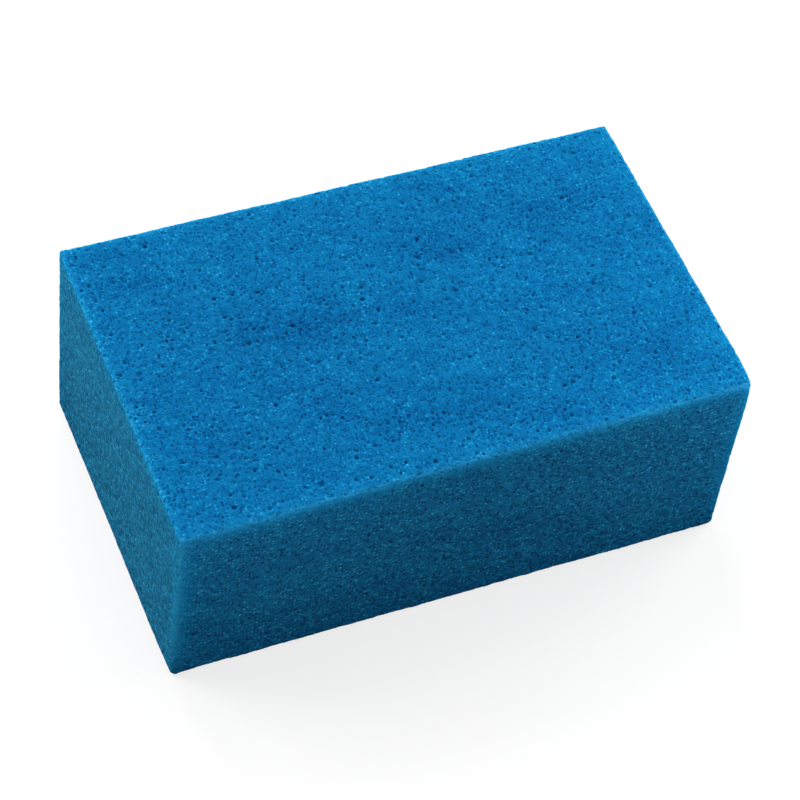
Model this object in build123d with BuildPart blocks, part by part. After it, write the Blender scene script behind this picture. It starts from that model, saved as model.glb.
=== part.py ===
from build123d import *
import os

# Grout sponge: one block of blue open-cell hydrophilic foam, sawn square from a larger bun.
# Frame: +Z up, origin at the centre of the base face, X along the block's length.

# Driving dimensions, millimetres
LENGTH = 175.0  # along X, the way the block is drawn across the tiles
WIDTH = 105.0  # along Y, across the hand
HEIGHT = 70.0  # along Z, base face to wiping face
EDGE_ROUND = 1.2  # the sawn edges relax to this radius
CORNER_ROUND = 1.2  # the four upright arrises, the same as the other edges

# The block: a rectangular outline on the base plane, carried straight up.
with BuildPart() as sponge_block:
    with BuildSketch(Plane.XY) as outline:
        Rectangle(LENGTH, WIDTH)
    extrude(amount=HEIGHT)
    # The upright arrises first, then the rims of the base face and of the wiping face.
    fillet(sponge_block.edges().filter_by(Axis.Z), radius=CORNER_ROUND)
    fillet(
        sponge_block.faces().sort_by(Axis.Z)[0].edges()
        + sponge_block.faces().sort_by(Axis.Z)[-1].edges(),
        radius=EDGE_ROUND - 0.01,
    )

sponge_block.part.label = "sponge_block"

os.makedirs("parts", exist_ok=True)
export_step(sponge_block.part, "parts/sponge_block.step")

box = sponge_block.part.bounding_box()
print("size", box.size, "volume_cm3", round(sponge_block.part.volume / 1000, 1))
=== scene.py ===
import math

import bpy
import numpy as np
from mathutils import Matrix, Vector, noise
from mathutils.geometry import delaunay_2d_cdt


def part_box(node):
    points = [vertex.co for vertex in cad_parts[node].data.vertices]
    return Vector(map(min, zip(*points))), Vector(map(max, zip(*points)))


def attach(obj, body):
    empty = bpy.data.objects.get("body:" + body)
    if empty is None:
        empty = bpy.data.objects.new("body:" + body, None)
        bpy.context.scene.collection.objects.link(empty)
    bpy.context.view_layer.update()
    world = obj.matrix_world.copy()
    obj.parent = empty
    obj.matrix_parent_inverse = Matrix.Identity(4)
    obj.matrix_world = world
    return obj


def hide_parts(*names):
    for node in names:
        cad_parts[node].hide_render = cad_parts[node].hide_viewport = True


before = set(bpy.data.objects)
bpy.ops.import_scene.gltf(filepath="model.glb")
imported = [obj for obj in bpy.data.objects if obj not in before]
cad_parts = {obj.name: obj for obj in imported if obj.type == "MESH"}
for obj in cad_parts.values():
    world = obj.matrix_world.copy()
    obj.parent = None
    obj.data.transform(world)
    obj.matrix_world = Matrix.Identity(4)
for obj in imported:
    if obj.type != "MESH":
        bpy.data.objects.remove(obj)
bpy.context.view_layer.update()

# The sponge: one block of blue open-cell foam. Its mesh is made here in millimetres, in the row's frame,
# and turned into metres at the end.

MM = 0.001
LO, HI = (np.array(c, float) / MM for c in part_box("sponge_block"))
SIZE = HI - LO
rng = np.random.default_rng(20417)

EDGE_R = 1.1  # how far the cut edges are softened
FACE_GAP = 1.9  # spacing of the plain cut surface's vertices
EDGE_GAP = 0.7  # spacing of the vertices along the twelve edges

# name: (normal axis, side, u axis, v axis, pores per square millimetre)
FACES = {
    "top": (2, 1, 0, 1, 0.140),
    "base": (2, -1, 0, 1, 0.085),
    "front": (1, -1, 0, 2, 0.130),
    "back": (1, 1, 0, 2, 0.130),
    "left": (0, -1, 1, 2, 0.120),
    "right": (0, 1, 1, 2, 0.120),
}

# Bands where the foam rose unevenly, so its cells are larger and lie closer together:
# centre u, v and half length, half width along the face (mm), turn (degrees), strength.
BANDS = {
    "top": [
        (-71, 34, 13, 3.2, -4, 1.0),
        (-36, 7, 15, 5.0, -12, 1.0),
        (-19, 5, 9, 1.6, -8, 0.9),
        (20, 21, 17, 4.0, -9, 0.7),
        (57, 27, 13, 5.5, -6, 0.8),
        (-31, -26, 11, 4.0, -10, 0.6),
        (-17, -33, 9, 3.4, -6, 0.8),
        (52, -26, 15, 8.0, -25, 0.55),
        (6, 0, 24, 4.5, -9, 0.35),
        (-62, -28, 16, 6.0, -5, 0.35),
        (24, -43, 22, 4.0, -5, 0.4),
    ],
    "front": [
        (5, -2, 46, 4.0, -14, 0.5),
        (28, -14, 20, 4.5, -8, 0.5),
        (-58, 12, 14, 5.0, -20, 0.4),
        (-20, -20, 26, 4.0, -6, 0.4),
        (52, 18, 20, 4.0, -12, 0.35),
        (12, -33, 80, 9.0, 0, 0.5),
    ],
    "back": [
        (-30, 10, 30, 4.5, 7, 0.6),
        (34, -8, 26, 4.0, 4, 0.6),
        (-8, -20, 24, 4.0, 9, 0.4),
    ],
    "left": [(-10, 12, 20, 4.0, 10, 0.35), (18, -10, 18, 5.0, -6, 0.4)],
    "right": [(8, 8, 22, 4.0, -8, 0.45), (-16, -12, 16, 4.5, 6, 0.4)],
    "base": [(-25, 14, 26, 4.5, 6, 0.6), (38, -12, 24, 5.0, 5, 0.6)],
}

# Single large openings and slits: u, v, radius, length over width, turn (degrees), depth.
LARGE = {
    "top": [
        (-9.5, 10.2, 1.00, 1.25, -10, 1.1),
        (-6.5, 5.2, 0.95, 1.35, 60, 1.0),
        (-32.3, 7.2, 1.10, 1.6, -20, 1.2),
        (-40.5, 8.6, 0.85, 1.3, 40, 0.9),
        (17.6, 5.4, 0.95, 1.3, -35, 1.0),
        (8.0, -2.0, 0.90, 1.4, 80, 1.0),
        (-77.8, -28.2, 0.75, 3.6, -7, 1.3),
        (-60.8, -32.2, 0.70, 3.4, -6, 1.3),
        (-66.5, 33.8, 0.65, 3.2, -3, 1.1),
        (-22.0, 5.0, 0.50, 4.0, -7, 0.9),
        (-69.5, -46.2, 1.05, 1.2, 0, 1.1),
        (-53.8, -38.8, 0.90, 1.2, -25, 1.0),
        (37.8, -12.8, 0.85, 2.0, -20, 1.0),
        (45.2, -21.2, 0.95, 1.6, 15, 1.0),
        (12.4, -18.4, 0.85, 1.5, 0, 0.9),
        (42.0, 40.2, 0.85, 1.1, 0, 1.0),
        (-3.3, 32.4, 0.85, 1.2, 10, 0.9),
        (22.0, 18.8, 0.80, 1.8, -10, 0.9),
        (79.6, -22.4, 0.80, 1.7, 0, 0.9),
        (39.4, 3.4, 0.75, 1.4, 70, 0.9),
        (-34.2, -25.2, 0.85, 1.3, -15, 0.9),
        (-61.0, 12.4, 0.60, 2.6, 75, 0.9),
        (46.5, 17.2, 0.80, 1.3, -20, 0.9),
        (23.2, -32.4, 0.75, 1.6, -25, 0.9),
        (-15.5, -33.4, 0.80, 1.2, 10, 0.9),
    ],
    "front": [
        (-69.0, 19.6, 1.0, 1.4, 0, 1.0),
        (30.2, -10.6, 0.9, 1.5, -5, 1.0),
        (54.2, -17.2, 1.0, 1.2, 30, 1.1),
        (27.0, 27.6, 0.9, 1.3, -40, 1.0),
        (27.6, 15.6, 0.85, 1.3, 30, 0.9),
        (14.6, 5.6, 0.65, 2.2, 85, 0.9),
        (-30.4, 12.6, 0.85, 1.3, 60, 0.9),
        (-62.6, -15.4, 0.9, 1.2, 0, 0.9),
        (-58.6, 14.2, 0.8, 1.5, 70, 0.9),
        (-74.6, -12.8, 0.7, 2.2, 100, 0.9),
        (72.4, -6.4, 0.9, 1.2, -30, 0.9),
        (49.0, 11.6, 0.75, 1.3, -50, 0.9),
    ],
    "back": [
        (-52, 14, 1.0, 1.5, 5, 1.0), (12, -6, 0.7, 3.2, 6, 1.1), (48, 18, 0.95, 1.2, 0, 1.0),
        (-18, -18, 0.9, 1.3, 20, 0.9), (66, -20, 0.85, 1.5, -10, 0.9),
    ],
    "left": [(-24, 6, 0.85, 1.4, 30, 0.9), (22, 18, 0.8, 1.3, 60, 0.9), (6, -20, 0.9, 1.2, 0, 0.9)],
    "right": [(18, 10, 0.95, 1.4, 20, 1.0), (-28, -14, 0.7, 2.8, 8, 1.0), (-6, 22, 0.85, 1.2, 0, 0.9)],
    "base": [(-40, 20, 1.0, 1.4, 10, 1.0), (52, -18, 0.7, 3.0, 5, 1.1), (8, 30, 0.9, 1.2, 0, 0.9)],
}


def band_field(name, u, v):
    """How strongly the face's bands show at u, v, from 0 to about 1."""
    f = np.zeros_like(u)
    for cu, cv, hl, hw, turn, k in BANDS[name]:
        c, s = math.cos(math.radians(turn)), math.sin(math.radians(turn))
        a, b = (u - cu) * c + (v - cv) * s, -(u - cu) * s + (v - cv) * c
        f = np.maximum(f, k * np.exp(-((a / hl) ** 2 + (b / hw) ** 2) * 0.9))
    return f


def soft_noise(points, scale, offset):
    return np.array([noise.noise(Vector((p[0] * scale + offset, p[1] * scale, p[2] * scale))) for p in points])


def spread(candidates, gaps, taken, blocked=()):
    """Keeps each candidate that is at least its gap from every point kept before it. taken is a cell table
    (1 mm cells) of the points so far; blocked are (u, v, radius) discs that no candidate may lie in."""
    kept = []
    for (u, v), g in zip(candidates, gaps):
        reach = int(math.ceil(g))
        iu, iv = int(math.floor(u)), int(math.floor(v))
        ok = True
        for a in range(iu - reach, iu + reach + 1):
            for b in range(iv - reach, iv + reach + 1):
                for q in taken.get((a, b), ()):
                    if (q[0] - u) ** 2 + (q[1] - v) ** 2 < g * g:
                        ok = False
                        break
                if not ok:
                    break
            if not ok:
                break
        if ok:
            taken.setdefault((iu, iv), []).append((u, v))
            kept.append((u, v))
    return kept


# Points along the twelve edges, shared by the two faces that meet there.
edge_points = {}
for axis in range(3):
    n = int(round(SIZE[axis] / EDGE_GAP))
    for a in (0, 1):
        for b in (0, 1):
            t = np.linspace(LO[axis], HI[axis], n + 1)
            t[1:-1] += rng.uniform(-0.22, 0.22, n - 1) * EDGE_GAP
            edge_points[(axis, a, b)] = t


def border(axis, side, ua, va):
    """The face's outline points as u, v pairs, without repeats."""
    out = set()
    others = {ua: va, va: ua}
    for run in (ua, va):
        fixed = others[run]
        for end in (0, 1):
            ends = {axis: 0 if side < 0 else 1, fixed: end}
            key = [ends[k] for k in range(3) if k != run]
            for t in edge_points[(run, key[0], key[1])]:
                p = {run: t, fixed: (HI if end else LO)[fixed]}
                out.add((float(p[ua]), float(p[va])))
    return sorted(out)


# Pores: position on the sharp block, in-plane directions, two radii, outline wobble, depth and the darkness of the
# shade painted into them.
pores = []
layout = {}
for name, (axis, side, ua, va, density) in FACES.items():
    du, dv = SIZE[ua], SIZE[va]
    mid = (LO + HI) / 2
    count = int(density * du * dv)
    tries = count * 5
    u = rng.uniform(LO[ua] - 0.4, HI[ua] + 0.4, tries)
    v = rng.uniform(LO[va] - 0.4, HI[va] + 0.4, tries)
    field = band_field(name, u - mid[ua], v - mid[va])
    p3 = np.zeros((tries, 3))
    p3[:, ua], p3[:, va], p3[:, axis] = u, v, (HI if side > 0 else LO)[axis]
    patch = soft_noise(p3, 0.13, 7.3)
    chance = np.clip(0.42 + 0.55 * field + 0.45 * patch, 0.15, 1.0)
    keep = rng.random(tries) < chance
    u, v, field = u[keep], v[keep], field[keep]
    r = 0.47 * np.exp(rng.normal(0, 0.25, len(u))) * (1 + 0.25 * field)
    big = rng.random(len(u)) < 0.012
    r[big] *= rng.uniform(1.35, 1.7, big.sum())
    r = np.clip(r, 0.27, 1.25)
    stretch = 1 + np.abs(rng.normal(0, 0.28, len(u))) + 0.35 * field * rng.random(len(u))
    # Cells lean along the block's length, and more so in the bands.
    turn = rng.normal(-5, 50, len(u)) if va != 2 or ua == 0 else rng.uniform(0, 180, len(u))
    deep = np.minimum(r, 0.6) * rng.uniform(0.75, 1.3, len(u))
    own = [(a + mid[ua], b + mid[va], rr * 0.88, st, tn, dp * 0.6, True) for a, b, rr, st, tn, dp in LARGE[name]]
    for i in range(len(u)):
        own.append((u[i], v[i], r[i], min(stretch[i], 2.2), turn[i], deep[i], False))
    # How much shade is painted into each pore, less for the larger ones; the listed large ones all get 0.8.
    dark = rng.uniform(0.5, 1.0, len(own)) * np.clip(0.47 / np.array([o[2] for o in own]), 0.55, 1.0)
    dark[:len(LARGE[name])] = 0.8
    cells = {}
    placed = []
    for (uu, vv, rr, st, tn, dp, fixed), dk in zip(own, dark):
        if len(placed) >= count:
            break
        gap = rr * math.sqrt(st) + 0.30
        iu, iv = int(uu // 4), int(vv // 4)
        ok = True
        if not fixed:
            for a in (iu - 1, iu, iu + 1):
                for b in (iv - 1, iv, iv + 1):
                    for q in cells.get((a, b), ()):
                        if (q[0] - uu) ** 2 + (q[1] - vv) ** 2 < (gap + q[2]) ** 2 * 0.80:
                            ok = False
        if not ok:
            continue
        cells.setdefault((iu, iv), []).append((uu, vv, gap - 0.30))
        placed.append((uu, vv, rr, st, tn, dp, float(dk)))
    layout[name] = placed
    for uu, vv, rr, st, tn, dp, dk in placed:
        centre = np.zeros(3)
        centre[ua], centre[va], centre[axis] = uu, vv, (HI if side > 0 else LO)[axis]
        c, s = math.cos(math.radians(tn)), math.sin(math.radians(tn))
        e1, e2 = np.zeros(3), np.zeros(3)
        e1[ua], e1[va], e2[ua], e2[va] = c, s, -s, c
        wob = (rng.uniform(0.0, 0.16), rng.uniform(0, 6.28), rng.uniform(0.0, 0.10), rng.uniform(0, 6.28))
        pores.append((centre, e1, e2, rr * math.sqrt(st), rr / math.sqrt(st), wob, dp, dk))


def outline(theta, wob):
    return 1 + wob[0] * np.cos(3 * theta + wob[1]) + wob[2] * np.cos(5 * theta + wob[3])


# Each face is triangulated in its own plane: outline, pore rings, edge rows, then the plain surface.
verts, index, tris = [], {}, []
pore_no = 0
for name, (axis, side, ua, va, density) in FACES.items():
    mine = pores[pore_no: pore_no + len(layout[name])]
    pore_no += len(layout[name])
    edge_uv = border(axis, side, ua, va)
    taken = {}
    for p in edge_uv:
        taken.setdefault((int(math.floor(p[0])), int(math.floor(p[1]))), []).append(p)
    rings, ring_gaps = [], []
    for centre, e1, e2, ra, rb, wob, dp, dk in mine:
        r = math.sqrt(ra * rb)
        if r < 0.60:
            plan = ((1.0, 6), (0.0, 1))
        elif r < 0.8:
            plan = ((1.0, 7), (0.52, 4), (0.0, 1))
        else:
            plan = ((1.0, 10), (0.72, 8), (0.36, 4), (0.0, 1))
        if ra / rb > 2:
            plan = ((1.0, 14), (0.66, 9), (0.30, 4), (0.0, 1))
        first = rng.uniform(0, 6.28)
        for rho, n in plan:
            for k in range(n):
                th = first + 6.2832 * k / n + rho
                w = rho * outline(th, wob)
                p = centre + e1 * (ra * w * math.cos(th)) + e2 * (rb * w * math.sin(th))
                pu, pv = float(p[ua]), float(p[va])
                if LO[ua] + 0.2 < pu < HI[ua] - 0.2 and LO[va] + 0.2 < pv < HI[va] - 0.2:
                    rings.append((pu, pv))
                    ring_gaps.append(0.15)
    kept = spread(rings, ring_gaps, taken)
    rows = []
    for d, gap in ((0.55, 0.75), (1.25, 0.95), (2.1, 1.15)):
        for end in (0, 1):
            for run, fixed in ((ua, va), (va, ua)):
                n = int(SIZE[run] / gap)
                t = np.linspace(LO[run] + d, HI[run] - d, n) + rng.uniform(-0.15, 0.15, n) * gap
                f = (HI[fixed] - d if end else LO[fixed] + d) + rng.uniform(-0.1, 0.1, n)
                for a, b in zip(t, f):
                    p = (float(a), float(b)) if run == ua else (float(b), float(a))
                    if LO[ua] + 0.3 < p[0] < HI[ua] - 0.3 and LO[va] + 0.3 < p[1] < HI[va] - 0.3:
                        rows.append((p, gap * 0.62))
    kept += spread([p for p, g in rows], [g for p, g in rows], taken)
    gap = FACE_GAP * (1.25 if name == "base" else 1.0)
    nu, nv = int((SIZE[ua] - 5) / gap), int((SIZE[va] - 5) / (gap * 0.866))
    plain = []
    for j in range(nv + 1):
        for i in range(nu + 1):
            a = LO[ua] + 2.5 + (i + 0.5 * (j % 2)) * (SIZE[ua] - 5) / nu
            b = LO[va] + 2.5 + j * (SIZE[va] - 5) / nv
            plain.append((a, b))
    plain = np.array(plain) + rng.uniform(-0.3, 0.3, (len(plain), 2)) * gap
    plain = [tuple(p) for p in plain.tolist() if LO[ua] + 1.5 < p[0] < HI[ua] - 1.5 and LO[va] + 1.5 < p[1] < HI[va] - 1.5]
    kept += spread(plain, [gap * 0.56] * len(plain), taken)
    uv = edge_uv + kept
    co, _, faces, source, _, _ = delaunay_2d_cdt([Vector(p) for p in uv], [], [], 0, 1e-7, True)
    local = []
    for k, p in enumerate(co):
        q = uv[source[k][0]] if source[k] else (p.x, p.y)
        w = [0.0, 0.0, 0.0]
        w[ua], w[va], w[axis] = q[0], q[1], float((HI if side > 0 else LO)[axis])
        key = tuple(round(c, 4) for c in w)
        if key not in index:
            index[key] = len(verts)
            verts.append(w)
        local.append(index[key])
    flip = name in ("base", "back", "left")
    for f in faces:
        f = [local[i] for i in f]
        tris.append(f[::-1] if flip else f)

verts = np.array(verts)

# How deep each vertex lies in a pore, and how much painted shade it gets there, from every pore that reaches it.
cell = 2.5
table = {}
for i, k in enumerate(map(tuple, np.floor(verts / cell).astype(int))):
    table.setdefault(k, []).append(i)
sink = np.zeros(len(verts))
pore_shading = np.zeros(len(verts))
for centre, e1, e2, ra, rb, wob, dp, dk in pores:
    k = np.floor(centre / cell).astype(int)
    near = []
    for a in (-1, 0, 1):
        for b in (-1, 0, 1):
            for c in (-1, 0, 1):
                near += table.get((k[0] + a, k[1] + b, k[2] + c), [])
    if not near:
        continue
    near = np.array(near)
    w = verts[near] - centre
    a, b = w @ e1, w @ e2
    h2 = np.maximum((w ** 2).sum(1) - a * a - b * b, 0)
    rho = np.sqrt((a / ra) ** 2 + (b / rb) ** 2 + h2 / (ra * rb)) / outline(np.arctan2(b / rb, a / ra), wob)
    bowl = np.clip(1 - rho ** 2, 0, 1) ** 0.65
    sink[near] = np.maximum(sink[near], bowl * dp)
    pore_shading[near] = np.maximum(pore_shading[near], bowl * dk)

# The softened block: every point of the sharp block moves onto the rounded one.
wave = soft_noise(verts, 0.075, 31.0)
fine = soft_noise(verts, 0.45, 3.0)
radius = EDGE_R * (1 + 0.35 * wave + 0.25 * fine)
# The front's edges are worn rounder than the rest, and one of its corners most.
radius += 0.8 * np.exp(-(((verts[:, 1] - LO[1]) / 6.0) ** 2))
worn = np.linalg.norm(verts - (HI[0], LO[1], HI[2]), axis=1)
radius += 1.1 * np.exp(-((worn / 5.0) ** 2))
# A pore that cuts an edge stays shallower than the edge's rounding, so that its walls don't fold over.
gap_to_edge = np.sort(np.minimum(verts - LO, HI - verts), axis=1)[:, 1]
sink = np.where(gap_to_edge < 0.6, np.minimum(sink, 0.5 * radius), sink)
core = np.minimum(np.maximum(verts, LO + radius[:, None]), HI - radius[:, None])
out = verts - core
length = np.linalg.norm(out, axis=1)
normal = out / length[:, None]
shape = core + normal * radius[:, None]
swell = soft_noise(verts, 0.022, 11.0) * 0.16 + soft_noise(verts, 0.16, 17.0) * 0.07
rough = rng.normal(0, 0.035, len(verts)) + soft_noise(verts, 0.8, 5.0) * 0.05
shape -= normal * (sink + np.maximum(0.14 - swell - rough, 0.0))[:, None]

# The block was cut by hand, so its corners are up to about two millimetres out of square.
# One row for each corner of x, y, z low (0) or high (1).
CORNERS = {
    (0, 0, 0): (-0.10, -0.95, 0.00), (1, 0, 0): (0.64, -0.90, 0.00),
    (0, 1, 0): (-0.46, -0.59, 0.00), (1, 1, 0): (0.25, -0.20, 0.00),
    (0, 0, 1): (0.00, -1.58, -1.15), (1, 0, 1): (0.33, -0.45, -0.02),
    (0, 1, 1): (-0.12, 0.87, 0.68), (1, 1, 1): (0.27, 0.32, 0.41),
}
f = np.clip((shape - LO) / SIZE, 0, 1)
shift = np.zeros_like(shape)
for (i, j, k), move in CORNERS.items():
    w = (f[:, 0] if i else 1 - f[:, 0]) * (f[:, 1] if j else 1 - f[:, 1]) * (f[:, 2] if k else 1 - f[:, 2])
    shift += w[:, None] * np.array(move, float)
shape += shift

mesh = bpy.data.meshes.new("foam_block")
mesh.from_pydata((shape * MM).tolist(), [], tris)
mesh.validate()
mesh.update()
mesh.shade_smooth()

# Attributes for the material: painted shade in the pores, painted light and shade near the softened edges, how strong a
# band.
edge_light_foot_shade = np.exp(-((gap_to_edge / 3.2) ** 1.3))
edge_highlight_line = np.exp(-((gap_to_edge / 1.1) ** 2))
tint_fade = 1.0 - 0.95 * edge_light_foot_shade
band = np.zeros(len(verts))
for name, (axis, side, ua, va, _) in FACES.items():
    on = np.abs(verts[:, axis] - (HI if side > 0 else LO)[axis]) < 1e-6
    mid = (LO + HI) / 2
    band[on] = np.maximum(band[on], band_field(name, verts[on, ua] - mid[ua], verts[on, va] - mid[va]))
end = normal[:, 0] ** 2
side = normal[:, 1] ** 2
# The upper edges and the front's upright ones show lighter, where light comes through the foam from two sides.
# The lowest millimetres, which nothing lights from below, don't.
low = np.clip(verts[:, 2] / 12.0, 0, 1)
glow = np.exp(-((gap_to_edge / 2.8) ** 1.3)) * side * low + 0.7 * np.exp(-((gap_to_edge / 1.6) ** 1.3)) * end * low
# A painted highlight: the upright edge between the front and the left end shows as a pale line.
ridge_highlight = np.exp(-(np.hypot((verts[:, 0] - LO[0]) / 1.5, (verts[:, 1] - LO[1]) / 1.2) ** 1.4)) * low
# The front's upper edge does too, less strongly.
ridge_highlight = np.maximum(ridge_highlight, 0.45 * np.exp(-(np.hypot((HI[2] - verts[:, 2]) / 2.2, (verts[:, 1] - LO[1]) / 0.9) ** 1.4)))
# Painted edge light, stronger on the sides and weaker on the top next to the front edge. Below about 3 mm from the base
# it turns into painted shade.
edge_light_foot_shade *= (1.0 + 0.3 * side) * (low * 1.3 - 0.3)
edge_light_foot_shade *= 1.0 - 0.5 * np.exp(-(((verts[:, 1] - LO[1]) / 6.0) ** 2)) * (1.0 - side)
# Painted shade: the foot of the front and the back is the darkest part of them.
edge_light_foot_shade -= 0.7 * np.exp(-((verts[:, 2] / 9.0) ** 2)) * side * np.clip((verts[:, 0] - LO[0]) / 40.0, 0, 1)
# A painted highlight: a narrow pale line along the edges, strongest at the front's left upright edge, fading out
# towards the base.
edge_highlight_line = (edge_highlight_line + 0.8 * np.exp(-(((verts[:, 0] - LO[0]) ** 2 + (verts[:, 1] - LO[1]) ** 2)))) * low
gain = 0.97 + 0.85 * side + 1.35 * end
for label, values in (("pore_shade", pore_shading), ("edge_light_foot_shade", edge_light_foot_shade), ("band", band), ("edge_highlight_line", edge_highlight_line), ("glow", glow), ("ridge_highlight", ridge_highlight), ("end", end * tint_fade), ("side", side * tint_fade), ("gain", gain)):
    layer = mesh.attributes.new(label, "FLOAT", "POINT")
    layer.data.foreach_set("value", values.astype(np.float32))

# A flat, non-overlapping layout of the six faces, for baking.
SHEET = {  # face: (left, bottom, turned), on a sheet 320 x 285 mm
    "top": (1, 1, False), "base": (1, 108, False), "front": (1, 215, False),
    "back": (178, 1, True), "left": (178, 178, True), "right": (250, 1, True),
}
uvs = mesh.uv_layers.new(name="OFBake")
loops = np.empty(len(mesh.loops), int)
mesh.loops.foreach_get("vertex_index", loops)
mid = verts[np.array(tris)].mean(1)
flat = np.zeros((len(loops), 2))
starts = np.array([p.loop_start for p in mesh.polygons])
for name, (axis, side, ua, va, _) in FACES.items():
    on = np.where(np.abs(mid[:, axis] - (HI if side > 0 else LO)[axis]) < 1e-6)[0]
    x, y, turned = SHEET[name]
    for k in range(3):
        li = starts[on] + k
        q = verts[loops[li]]
        a, b = q[:, ua] - LO[ua], q[:, va] - LO[va]
        if turned:
            a, b = b, a
        flat[li, 0], flat[li, 1] = (x + a) / 322.0, (y + b) / 288.0
uvs.data.foreach_set("uv", flat.ravel().astype(np.float32))

foam = bpy.data.objects.new("foam_block", mesh)
bpy.context.scene.collection.objects.link(foam)
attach(foam, "root")
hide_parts("sponge_block")
print("foam mesh:", len(verts), "vertices", len(tris), "triangles", len(pores), "pores")


# The foam's material.
def srgb(r, g, b):
    return tuple(c / 12.92 if c <= 0.04045 else ((c + 0.055) / 1.055) ** 2.4 for c in (r / 255, g / 255, b / 255))


mat = bpy.data.materials.new("blue_foam")
mat.use_nodes = True
nt = mat.node_tree
nt.nodes.clear()


def node(kind, **values):
    n = nt.nodes.new(kind)
    for k, v in values.items():
        if hasattr(n, k):
            setattr(n, k, v)
        else:
            n.inputs[k].default_value = v
    return n


def link(a, b):
    nt.links.new(a, b)


def maths(op, a, b=None, clamp=False):
    n = nt.nodes.new("ShaderNodeMath")
    n.operation = op
    n.use_clamp = clamp
    for i, x in enumerate((a, b)):
        if x is None:
            continue
        if isinstance(x, (int, float)):
            n.inputs[i].default_value = x
        else:
            link(x, n.inputs[i])
    return n.outputs[0]


def ramp(x, lo_in, hi_in, lo_out, hi_out, smooth=True):
    n = nt.nodes.new("ShaderNodeMapRange")
    n.interpolation_type = "SMOOTHSTEP" if smooth else "LINEAR"
    link(x, n.inputs["Value"])
    for k, v in zip(("From Min", "From Max", "To Min", "To Max"), (lo_in, hi_in, lo_out, hi_out)):
        n.inputs[k].default_value = v
    return n.outputs["Result"]


def attribute(name):
    n = nt.nodes.new("ShaderNodeAttribute")
    n.attribute_name = name
    return n.outputs["Fac"]


coords = nt.nodes.new("ShaderNodeTexCoord")
mm = node("ShaderNodeMapping")
mm.inputs["Scale"].default_value = (1000, 1000, 1000)
link(coords.outputs["Object"], mm.inputs["Vector"])
P = mm.outputs["Vector"]


def voronoi(scale, feature="F1", randomness=1.0):
    n = nt.nodes.new("ShaderNodeTexVoronoi")
    n.feature = feature
    n.inputs["Scale"].default_value = scale
    n.inputs["Randomness"].default_value = randomness
    link(P, n.inputs["Vector"])
    return n


def cloud(scale, detail=2.0, roughness=0.5, vector=None):
    n = nt.nodes.new("ShaderNodeTexNoise")
    n.inputs["Scale"].default_value = scale
    n.inputs["Detail"].default_value = detail
    n.inputs["Roughness"].default_value = roughness
    link(vector or P, n.inputs["Vector"])
    return n.outputs["Fac"]


# Foam cells about 0.8 and 0.4 mm across. Each has an open middle, painted dark for the shade in its hole, in a lighter
# net of struts, and some are closed by a skin, so how dark the middle is differs from cell to cell.
def cell_layer(scale, reach):
    v = voronoi(scale)
    pick = nt.nodes.new("ShaderNodeSeparateColor")
    link(v.outputs["Color"], pick.inputs[0])
    bowl = ramp(v.outputs["Distance"], reach, 0.06, 0.0, 1.0)
    return maths("MULTIPLY", bowl, maths("POWER", pick.outputs[0], 1.7)), pick.outputs[1]


coarse, coarse_pick = cell_layer(1.22, 0.50)
fine_cells, fine_pick = cell_layer(2.45, 0.55)
# Pale specks where a strut end or a skin catches the light.
speck = voronoi(0.74)
speck_size = nt.nodes.new("ShaderNodeSeparateColor")
link(speck.outputs["Color"], speck_size.inputs[0])
speck_r = maths("MULTIPLY_ADD", maths("POWER", speck_size.outputs[1], 1.5), 0.50)
speck_r.node.inputs[2].default_value = 0.03
speck_mask = maths("SUBTRACT", 1.0, maths("DIVIDE", speck.outputs["Distance"], speck_r), clamp=True)
speck_mask = ramp(speck_mask, 0.0, 0.8, 0.0, 1.0)
# Single cells about a millimetre across that show as a darker or a paler dot.
dots = voronoi(0.90)
dots_pick = nt.nodes.new("ShaderNodeSeparateColor")
link(dots.outputs["Color"], dots_pick.inputs[0])
dot_level = maths("MULTIPLY_ADD", maths("POWER", dots_pick.outputs[0], 1.5), -1.9)
dot_level.node.inputs[2].default_value = 0.78
dot = maths("MULTIPLY", ramp(dots.outputs["Distance"], 0.55, 0.12, 0.0, 1.0), dot_level)
# Uneven density of the foam, from 1 mm to 3 cm, and the faint drawn-out bands of its rise.
grain = ramp(cloud(1.25, 1.5), 0.25, 0.75, -1.0, 1.0, smooth=False)
mottle = ramp(cloud(0.36, 2.0), 0.25, 0.75, -1.0, 1.0, smooth=False)
patch = ramp(cloud(0.075, 2.0), 0.25, 0.75, -1.0, 1.0, smooth=False)
drawn = node("ShaderNodeMapping")
drawn.inputs["Rotation"].default_value = (0.03, -0.05, math.radians(7))
drawn.inputs["Scale"].default_value = (0.022, 0.16, 0.15)
link(P, drawn.inputs["Vector"])
streak = ramp(cloud(1.0, 3.0, 0.55, drawn.outputs["Vector"]), 0.24, 0.46, -1.0, 0.0)


def add_up(total, terms):
    for source, k in terms:
        m = nt.nodes.new("ShaderNodeMath")
        m.operation = "MULTIPLY_ADD"
        link(source, m.inputs[0])
        m.inputs[1].default_value = k
        link(total, m.inputs[2])
        total = m.outputs[0]
    return total


# The pore term is painted shade inside the pits, and the coarse and fine cell terms paint shade in the cells' open
# middles.
tone = maths("MULTIPLY", coarse, -1.60)
tone = add_up(tone, ((fine_cells, -0.85), (speck_mask, 0.44), (grain, 0.35), (dot, 1.60), (attribute("pore_shade"), -1.42)))
# Cell for cell the sides, and more so the ends, show more contrast than the top; the slow changes don't.
tone = maths("MULTIPLY", maths("ADD", tone, 0.26), attribute("gain"))
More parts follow.
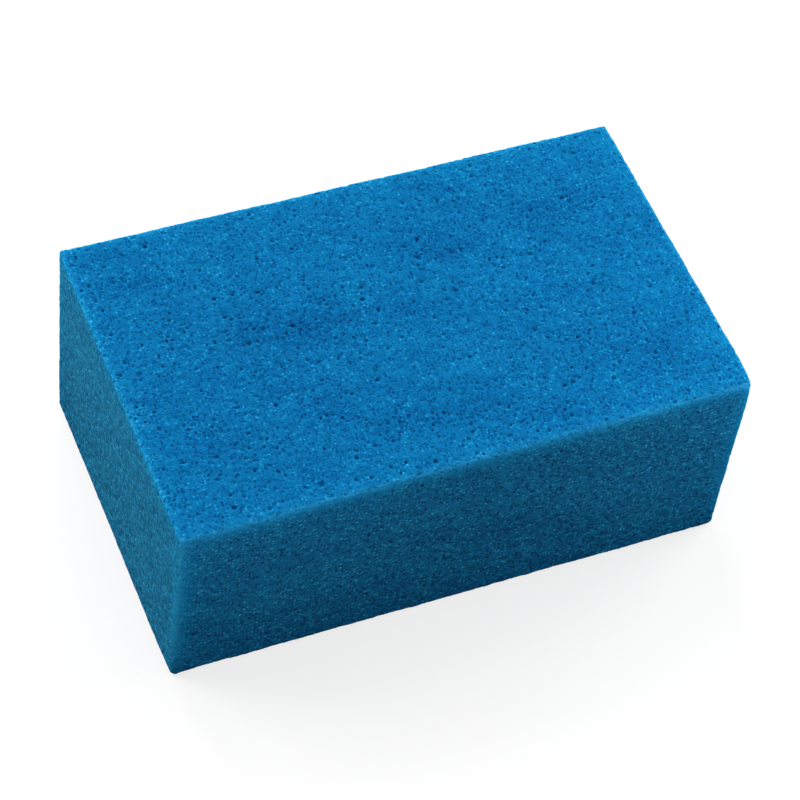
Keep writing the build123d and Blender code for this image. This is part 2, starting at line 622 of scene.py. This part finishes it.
# The edge and line terms add painted light along the edges and painted shade at the foot of the sides.
tone = add_up(tone, ((mottle, 0.16), (patch, 0.17), (streak, 0.27), (attribute("band"), -0.44),
                     (attribute("edge_light_foot_shade"), 0.42), (attribute("edge_highlight_line"), 0.55)))
tone01 = ramp(tone, -2.1, 1.9, 0.0, 1.0, smooth=False)
colours = nt.nodes.new("ShaderNodeValToRGB")
colours.color_ramp.interpolation = "LINEAR"
stops = [(0.0, srgb(1, 34, 78)), (0.25, srgb(2, 62, 117)), (0.5, srgb(4, 92, 146)), (0.75, srgb(11, 122, 173)),
         (1.0, srgb(42, 156, 202))]
while len(colours.color_ramp.elements) < len(stops):
    colours.color_ramp.elements.new(0.5)
for e, (x, c) in zip(colours.color_ramp.elements, stops):
    e.position = x
    e.color = (*c, 1)
link(tone01, colours.inputs["Fac"])
# The sides, and more so the two ends, are a little greyer and greener than the top.
def tint(colour, amount, target):
    n = nt.nodes.new("ShaderNodeMix")
    n.data_type = "RGBA"
    n.blend_type = "MIX"
    link(amount, n.inputs["Factor"])
    link(colour, n.inputs["A"])
    n.inputs["B"].default_value = (*target, 1)
    return n.outputs["Result"]


colour = tint(colours.outputs["Color"], maths("MULTIPLY", attribute("side"), 0.13), (0.034, 0.140, 0.19))
colour = tint(colour, maths("MULTIPLY", attribute("end"), 0.30), (0.030, 0.195, 0.312))
# Painted light: near the front's and the back's edges the foam is tinted a clearer blue, where light comes through it.
colour = tint(colour, maths("MULTIPLY", attribute("glow"), 0.75), (0.003, 0.205, 0.50))
# A painted highlight on the upright edge between the front and the left end, weaker on the front's upper edge.
colour = tint(colour, maths("MULTIPLY", attribute("ridge_highlight"), 0.85), (0.026, 0.350, 0.650))

height = add_up(maths("MULTIPLY", coarse, -0.34), ((fine_cells, -0.16), (speck_mask, 0.06), (grain, 0.05), (dot, 0.05)))
bump = nt.nodes.new("ShaderNodeBump")
bump.inputs["Strength"].default_value = 0.6
bump.inputs["Distance"].default_value = 0.001
link(height, bump.inputs["Height"])

shader = nt.nodes.new("ShaderNodeBsdfPrincipled")
link(colour, shader.inputs["Base Color"])
link(bump.outputs["Normal"], shader.inputs["Normal"])
shader.inputs["Roughness"].default_value = 0.95
shader.inputs["Specular IOR Level"].default_value = 0.04
shader.inputs["Sheen Weight"].default_value = 0.0
# Light passes a few millimetres through the foam, so its edges glow a little and its pores are soft.
shader.inputs["Subsurface Weight"].default_value = 0.85
shader.inputs["Subsurface Radius"].default_value = (0.5, 0.9, 1.0)
shader.inputs["Subsurface Scale"].default_value = 0.0022
outp = nt.nodes.new("ShaderNodeOutputMaterial")
link(shader.outputs["BSDF"], outp.inputs["Surface"])
mesh.materials.append(mat)

# Floor, lights, camera.
floor_mesh = bpy.data.meshes.new("floor")
floor_mesh.from_pydata([(-6, -6, 0), (6, -6, 0), (6, 6, 0), (-6, 6, 0)], [], [(0, 1, 2, 3)])
floor = bpy.data.objects.new("floor", floor_mesh)
bpy.context.scene.collection.objects.link(floor)
floor_mat = bpy.data.materials.new("pale_floor")
floor_mat.use_nodes = True
floor_nodes = floor_mat.node_tree
floor_shader = floor_nodes.nodes["Principled BSDF"]
floor_shader.inputs["Roughness"].default_value = 1.0
floor_shader.inputs["Specular IOR Level"].default_value = 0.0
# The floor looks near white, as a lit studio table does, but sends little light back to the sponge.
path = floor_nodes.nodes.new("ShaderNodeLightPath")
shade = floor_nodes.nodes.new("ShaderNodeMix")
shade.data_type = "RGBA"
shade.inputs["A"].default_value = (0.06, 0.06, 0.06, 1)
shade.inputs["B"].default_value = (0.23, 0.23, 0.23, 1)
floor_nodes.links.new(path.outputs["Is Camera Ray"], shade.inputs["Factor"])
floor_nodes.links.new(shade.outputs["Result"], floor_shader.inputs["Base Color"])
glow = floor_nodes.nodes.new("ShaderNodeMath")
glow.operation = "MULTIPLY"
glow.inputs[1].default_value = 0.74
floor_nodes.links.new(path.outputs["Is Camera Ray"], glow.inputs[0])
floor_shader.inputs["Emission Color"].default_value = (1, 1, 1, 1)
floor_nodes.links.new(glow.outputs[0], floor_shader.inputs["Emission Strength"])
floor_mesh.materials.append(floor_mat)


def area(name, place, target, size, power, colour=(1, 1, 1)):
    data = bpy.data.lights.new(name, "AREA")
    data.shape = "RECTANGLE"
    data.size, data.size_y = size
    data.energy = power
    data.color = colour
    ob = bpy.data.objects.new(name, data)
    bpy.context.scene.collection.objects.link(ob)
    ob.location = place
    ob.rotation_euler = (Vector(target) - Vector(place)).to_track_quat("-Z", "Y").to_euler()
    ob.visible_camera = False
    return ob


area("back_left", (-0.7, 0.5, 0.9), (0, 0, 0.03), (0.6, 0.6), 8.0)
area("back", (0.0, 0.9, 0.9), (0, 0, 0.03), (0.6, 0.6), 10.3)
area("back_right", (1.1, 0.4, 0.6), (0, 0, 0.03), (0.6, 0.6), 5.5)
area("fill_left", (-0.072, -0.124, 0.084), (0, 0, 0.03), (0.12, 0.12), 0.042)
area("fill_right", (0.095, -0.121, 0.084), (0, 0, 0.03), (0.12, 0.12), 0.057)
area("left_near", (-0.233, 0.069, 0.145), (-0.08, 0.0, 0.035), (0.10, 0.10), 0.105)
area("right_near", (0.24, -0.02, 0.30), (0, 0, 0.03), (0.16, 0.16), 0.45)
world = bpy.data.worlds.new("studio")
bpy.context.scene.world = world
world.use_nodes = True
# The room lights the sponge softly from all round, and is itself a pale backdrop.
sky = world.node_tree
sky_path = sky.nodes.new("ShaderNodeLightPath")
sky_level = sky.nodes.new("ShaderNodeMapRange")
sky_level.inputs["To Min"].default_value = 0.15
sky_level.inputs["To Max"].default_value = 0.78
sky.links.new(sky_path.outputs["Is Camera Ray"], sky_level.inputs["Value"])
sky.links.new(sky_level.outputs["Result"], sky.nodes["Background"].inputs["Strength"])
sky.nodes["Background"].inputs["Color"].default_value = (1, 1, 1, 1)

cam_data = bpy.data.cameras.new("camera")
cam_data.sensor_width = 36
cam_data.lens = 128.567
cam_data.clip_start, cam_data.clip_end = 0.05, 50
cam = bpy.data.objects.new("camera", cam_data)
bpy.context.scene.collection.objects.link(cam)
right = Vector((0.9242845, -0.3696168, 0.0952977))
down = Vector((-0.2387901, -0.7546873, -0.6110863))
ahead = Vector((0.2977877, 0.5420614, -0.7858065))
place = Vector((-0.2527394, -0.4643941, 0.7032729))
cam.matrix_world = Matrix((
    (right.x, -down.x, -ahead.x, place.x),
    (right.y, -down.y, -ahead.y, place.y),
    (right.z, -down.z, -ahead.z, place.z),
    (0, 0, 0, 1),
))
bpy.context.scene.camera = cam
bpy.context.scene.view_settings.view_transform = "Standard"
